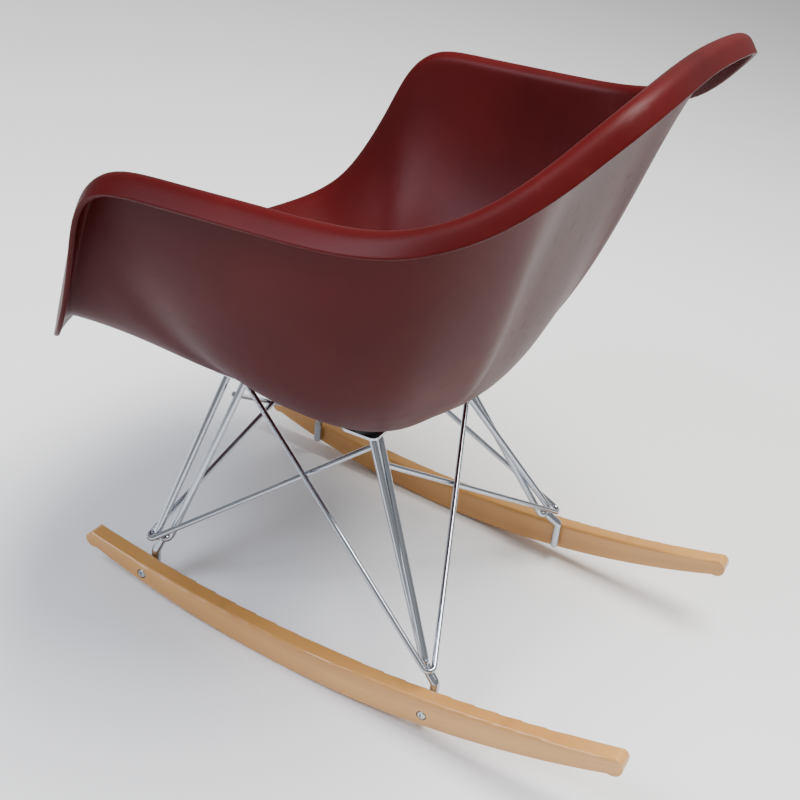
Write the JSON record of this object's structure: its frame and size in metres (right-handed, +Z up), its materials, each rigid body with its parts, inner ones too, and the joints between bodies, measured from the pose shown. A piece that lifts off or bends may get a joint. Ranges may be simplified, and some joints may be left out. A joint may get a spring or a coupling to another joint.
{
  "type": "rocking armchair",
  "caption": "Rocking armchair: one-piece moulded bucket shell with rolled edges on a crossed wire base, bolted to a pair of curved wooden rockers.",
  "frame": {"origin": "on the floor, under the middle of the overall box; the rockers touch the floor along one line", "axes": "+Z up, the sitter faces -Y, the sitter's left side is +X"},
  "size_m": [0.6364, 0.7108, 0.698],
  "materials": {
    "shell": "dark red moulded plastic, satin",
    "rocker": "honey-coloured bent wood, clear satin lacquer",
    "leg_wire": "bright plated steel wire",
    "cross_wire": "bright plated steel wire",
    "post": "bright plated steel bar",
    "mount_plate": "plated steel plate",
    "cushion": "black moulded rubber",
    "fastener": "zinc-plated steel",
    "insert": "plain turned brass"
  },
  "bodies": {
    "root": {"seat_shell": "shell", "rocker_left": "rocker", "rocker_right": "rocker", "leg_wire_front_left": "leg_wire", "leg_wire_front_right": "leg_wire", "leg_wire_rear_left": "leg_wire", "leg_wire_rear_right": "leg_wire", "cross_wire_front_left": "cross_wire", "cross_wire_front_right": "cross_wire", "cross_wire_rear_left": "cross_wire", "cross_wire_rear_right": "cross_wire", "post_front_left": "post", "post_front_right": "post", "post_rear_left": "post", "post_rear_right": "post", "mount_plate_front_left": "mount_plate", "mount_plate_front_right": "mount_plate", "mount_plate_rear_left": "mount_plate", "mount_plate_rear_right": "mount_plate", "cushion_front_left": "cushion", "cushion_front_right": "cushion", "cushion_rear_left": "cushion", "cushion_rear_right": "cushion", "rocker_bolts": "fastener", "rocker_washers": "fastener", "mount_screws": "fastener", "cushion_inserts": "insert"}
  },
  "joints": []
}
